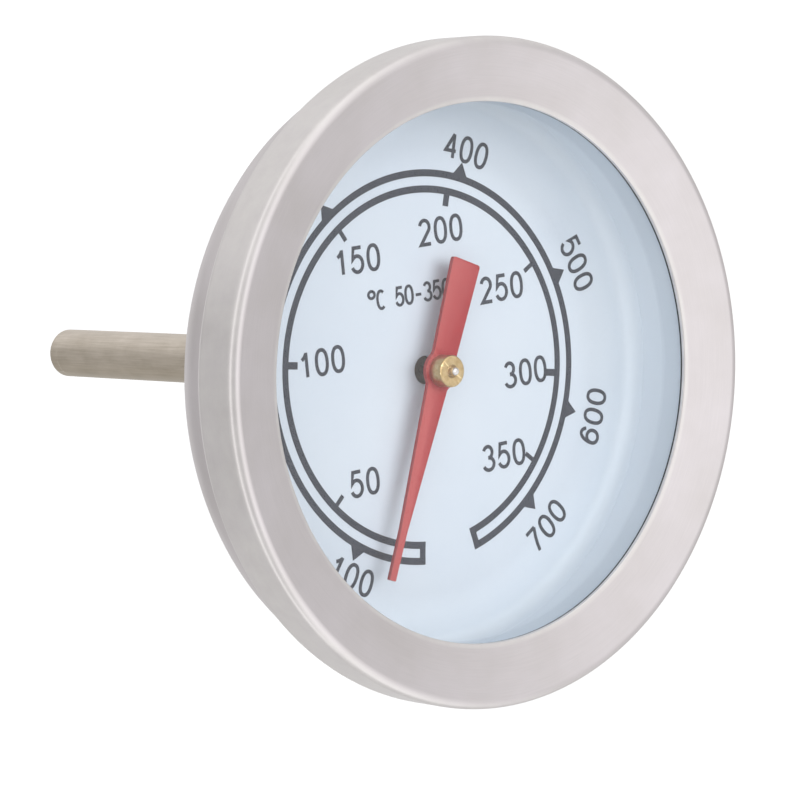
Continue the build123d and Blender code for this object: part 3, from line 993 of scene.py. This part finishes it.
def make_bushing():
    """The flanged bushing: plain shank, then a right-hand thread that grows out of it."""
    front, end = low_y("stem_bushing"), high_y("stem_bushing")
    flange, edge, chamfer = outer_radius("stem_bushing"), 0.12, 0.1
    root = THREAD_RADIUS - THREAD_DEPTH
    bushing = bmesh.new()
    plain = [(root, end), (STEM_NECK + chamfer, end), (STEM_NECK, end - chamfer), (STEM_NECK, front)]
    plain += rounded(
        (STEM_NECK, front, 0),
        (flange, front, edge),
        (flange, -SHEET, edge),
        (STEM_NECK, -SHEET, 0),
    )[1:-1]
    plain += [(THREAD_RADIUS, -SHEET), (THREAD_RADIUS, SHANK_LENGTH)]
    rings = [ring_vertices(bushing, radius, y, SMALL_SEGMENTS) for radius, y in plain]
    for this, that in zip(rings, rings[1:]):
        bridge(bushing, this, that)
    rows = []
    for turn in range(-1, ceil((end - SHANK_LENGTH) / THREAD_PITCH) + 1):
        for start, depth in THREAD_FORM:
            row = []
            for step in range(SMALL_SEGMENTS + 1):
                share = step / SMALL_SEGMENTS
                y = SHANK_LENGTH + (turn + start + share) * THREAD_PITCH
                y = min(max(y, SHANK_LENGTH), end)
                grown = min(1, (y - SHANK_LENGTH) / THREAD_PITCH)
                radius = min(THREAD_RADIUS - depth * grown, root + end - y)
                row.append(vertex_at(bushing, radius, y, 360 * share))
            rows.append(row)
    for this, that in zip(rows, rows[1:]):
        for step in range(SMALL_SEGMENTS):
            bushing.faces.new((this[step], this[step + 1], that[step + 1], that[step]))
    return finish_mesh("bushing", bushing)


def make_nut():
    """A hexagon nut. Its corners are turned off, so each flat ends in a curved edge."""
    start, end = low_y("mounting_nut"), high_y("mounting_nut")
    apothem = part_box("mounting_nut")[1].z / MM
    nut = bmesh.new()
    rings = [[] for _ in range(8)]
    for step in range(NUT_SEGMENTS):
        angle = 360 * step / NUT_SEGMENTS
        corner = apothem / cos(radians((angle + 30) % 60 - 30))
        drop = (corner - NUT_FACE) * NUT_DROP / NUT_REACH
        section = (
            (NUT_BORE + NUT_CHAMFER, start),
            (NUT_FACE, start),
            (corner, start + drop),
            (corner, end - drop),
            (NUT_FACE, end),
            (NUT_BORE + NUT_CHAMFER, end),
            (NUT_BORE, end - NUT_CHAMFER),
            (NUT_BORE, start + NUT_CHAMFER),
        )
        for ring, (radius, y) in zip(rings, section):
            ring.append(vertex_at(nut, radius, y, angle))
    for this, that in zip(rings, rings[1:] + rings[:1]):
        bridge(nut, this, that)
    return soften(finish_mesh("nut", nut), 0.07, 20)


def make_lock_washer():
    """A split ring of square section. Its slot on the +X side is slanted."""
    start, end = low_y("lock_washer"), high_y("lock_washer")
    outer, bore, edge = -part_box("lock_washer")[0].x / MM, LOCK_WASHER_BORE, 0.12
    middle, mean = (start + end) / 2, (outer + bore) / 2
    half_slot = degrees(LOCK_WASHER_SLOT / 2 / mean)
    slant = degrees(tan(radians(LOCK_WASHER_TILT)) / mean)
    section = rounded((bore, start, edge), (outer, start, edge), (outer, end, edge), (bore, end, edge))
    washer = bmesh.new()
    rings = []
    for step in range(LOCK_WASHER_STEPS + 1):
        ring = []
        for radius, y in section:
            skew = -(y - middle) * slant
            angle = 90 + half_slot + skew + (360 - 2 * half_slot) * step / LOCK_WASHER_STEPS
            ring.append(vertex_at(washer, radius, y, angle))
        rings.append(ring)
    for this, that in zip(rings, rings[1:]):
        bridge(washer, this, that)
    washer.faces.new(rings[0])
    washer.faces.new(rings[-1])
    return finish_mesh("lock_washer_ring", washer)


def make_object():
    """Every visible piece, each in place of its CAD node, and the materials of the hidden nodes."""
    sheet_steel, tube_steel, zinc, coating = satin_steel(), stem_steel(), plated_steel(), dial_enamel()
    stand_for(lathe("bezel", bezel_profile()), "bezel_ring", sheet_steel)
    stand_for(lathe("case", case_profile()), "case_back", sheet_steel)
    stand_for(lathe("well_wall", spacer_profile()), "spacer_ring", coating)
    stand_for(lathe("dial", dial_profile()), "dial_plate", coating)
    lens = lathe("lens", lens_profile())
    stand_for(lens, "glass_lens", clear_glass())
    lens.visible_shadow = False
    lens.visible_diffuse = False
    face = -DIAL_HEIGHT
    scale = plate("dial_print", draw_scale(), face - INK_THICKNESS, face + INK_DEPTH)
    scale.data.materials.append(dial_ink())
    scale.location = Vector((PRINT_SHIFT[0], 0, PRINT_SHIFT[1])) * MM
    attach(scale, "housing")

    tube = lathe("stem", tube_profile(), SMALL_SEGMENTS)
    stand_for(tube, "stem_tube", tube_steel)
    plug = lathe("stem_end", plug_profile(), SMALL_SEGMENTS)
    stand_for(plug, "stem_end_plug", tube_steel)
    stand_for(make_bushing(), "stem_bushing", turned_steel())

    levels = [corner.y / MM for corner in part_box("pointer")]
    hand = soften(plate("hand", [draw_pointer()], *levels, POINTER_REST_ANGLE), 0.05)
    stand_for(hand, "pointer", pointer_red())
    bush = lathe("hand_bush", bush_profile(), SMALL_SEGMENTS)
    stand_for(bush, "pointer_bush", turned_brass())
    shaft = lathe("shaft", spindle_profile(), SMALL_SEGMENTS)
    stand_for(shaft, "spindle", bright_steel())

    washer = lathe("flat_washer", washer_profile(), SMALL_SEGMENTS)
    stand_for(washer, "panel_washer", zinc)
    stand_for(make_lock_washer(), "lock_washer", zinc)
    stand_for(make_nut(), "mounting_nut", zinc)

    bronze = sintered_bronze()
    hidden = {
        "lens_gasket": silicone(),
        "upper_guide_bush": bronze,
        "lower_guide_bush": bronze,
        "coil_collar": bronze,
        "bimetal_coil": bimetal_strip(),
        "coil_anchor": turned_steel(),
    }
    for node, material in hidden.items():
        frame["nodes"][node].data.materials.clear()
        frame["nodes"][node].data.materials.append(material)


# ------------------------------------------------------------------ stage

def make_floor():
    """A pale floor, well below the part, which hangs by its stem in a panel when it is used."""
    floor = bmesh.new()
    rings = [[floor.verts.new((0, 0, 0))]]
    angles = [2 * pi * step / FLOOR_SEGMENTS for step in range(FLOOR_SEGMENTS)]
    for radius in FLOOR_RINGS:
        rings.append([floor.verts.new((radius * cos(a), radius * sin(a), 0)) for a in angles])
    for this, that in zip(rings, rings[1:]):
        bridge(floor, this, that)
    piece = finish_mesh("floor", floor)
    piece.location.z = cad_box[0].z - FLOOR_DROP
    piece.visible_glossy = piece.visible_diffuse = piece.visible_shadow = False
    piece.data.materials.append(floor_paint())


def make_world():
    """Soft light from all round: two tall softboxes, a bright ceiling, and a dim back and ground."""
    world = bpy.data.worlds.new("studio")
    bpy.context.scene.world = world
    tree = Nodes(world)
    way = tree.add("TexCoord", output="Generated")

    def along(direction):
        """The part of the way that lies along a direction."""
        return tree.add("VectorMath", {0: way, 1: direction}, output="Value", operation="DOT_PRODUCT")

    def level(value, first, second, edge):
        """Light that goes softly from one strength to another while the value crosses an edge."""
        return tree.span(value, first, second, *edge, interpolation_type="SMOOTHSTEP")

    def softbox(azimuth):
        """How far a direction is to the right of a softbox, and how far it is towards it."""
        a = radians(azimuth)
        return along((cos(a), sin(a), 0)), along((sin(a), -cos(a), 0))

    right, front = softbox(KEY_AZIMUTH)
    key_left = level(right, GAP_LIGHT, BOX_LIGHT, KEY_LEFT)
    key_right = level(right, BOX_LIGHT, SIDE_LIGHT, KEY_RIGHT)
    key = tree.math("MINIMUM", key_left, key_right)
    key = tree.math("MINIMUM", key, level(front, BEHIND_LIGHT, BOX_LIGHT, KEY_FRONT))
    right, front = softbox(STRIP_AZIMUTH)
    strip = level(tree.math("ABSOLUTE", right), BOX_LIGHT, STRIP_DIM, STRIP_SIDE)
    strip = tree.math("MINIMUM", strip, level(front, STRIP_DIM, BOX_LIGHT, STRIP_FRONT))
    rising = along((0, 0, 1))
    parts = [
        level(rising, *CEILING_LIGHT, CEILING_EDGE),
        level(rising, *GROUND_LIGHT, GROUND_EDGE),
        level(along(FRONT_LEFT), *BACK_LIGHT, BACK_EDGE),
        level(along(FRONT_LEFT), *BACKDROP_LIGHT, BACKDROP_EDGE),
        strip,
    ]
    light = key
    for part in parts:
        light = tree.math("MAXIMUM", light, part)
    matt = tree.add("LightPath", output="Is Diffuse Ray")
    light = tree.math("MULTIPLY", light, tree.math("MULTIPLY_ADD", matt, MATT_SHARE - 1, 1.0))
    white = tree.add("LightPath", output="Is Camera Ray")
    light = tree.math("MAXIMUM", light, white)
    background = tree.nodes["Background"].inputs
    tree.feed(background["Strength"], light)
    tree.feed(background["Color"], (1, 1, 1, 1))


def make_sun(name, azimuth, elevation, strength, spread):
    """A broad soft light at infinity. Azimuth 0 shines from the front and 90 from the right."""
    light = bpy.data.lights.new(name, "SUN")
    light.energy = strength
    light.angle = radians(spread)
    lamp = bpy.data.objects.new(name, light)
    a, e = radians(azimuth), radians(elevation)
    towards = Vector((sin(a) * cos(e), -cos(a) * cos(e), sin(e)))
    lamp.visible_glossy = False
    lamp.rotation_mode = "QUATERNION"
    lamp.rotation_quaternion = towards.to_track_quat("Z", "Y")
    bpy.context.scene.collection.objects.link(lamp)


def make_camera():
    """The camera at the photograph's viewpoint."""
    data = bpy.data.cameras.new("camera")
    data.lens = CAMERA_LENS
    data.clip_start, data.clip_end = 0.01, 100
    camera = bpy.data.objects.new("camera", data)
    turn = Matrix.Rotation(radians(-CAMERA_YAW), 4, "Z")
    tilt = Matrix.Rotation(radians(90 + CAMERA_PITCH), 4, "X")
    roll = Matrix.Rotation(radians(CAMERA_ROLL), 4, "Z")
    camera.matrix_world = Matrix.Translation(Vector(CAMERA_PLACE) * MM) @ turn @ tilt @ roll
    bpy.context.scene.collection.objects.link(camera)
    bpy.context.scene.camera = camera


make_camera()
make_world()
for sun in SUNS:
    make_sun(*sun)
make_floor()
make_object()
bpy.context.scene.view_settings.view_transform = "Standard"
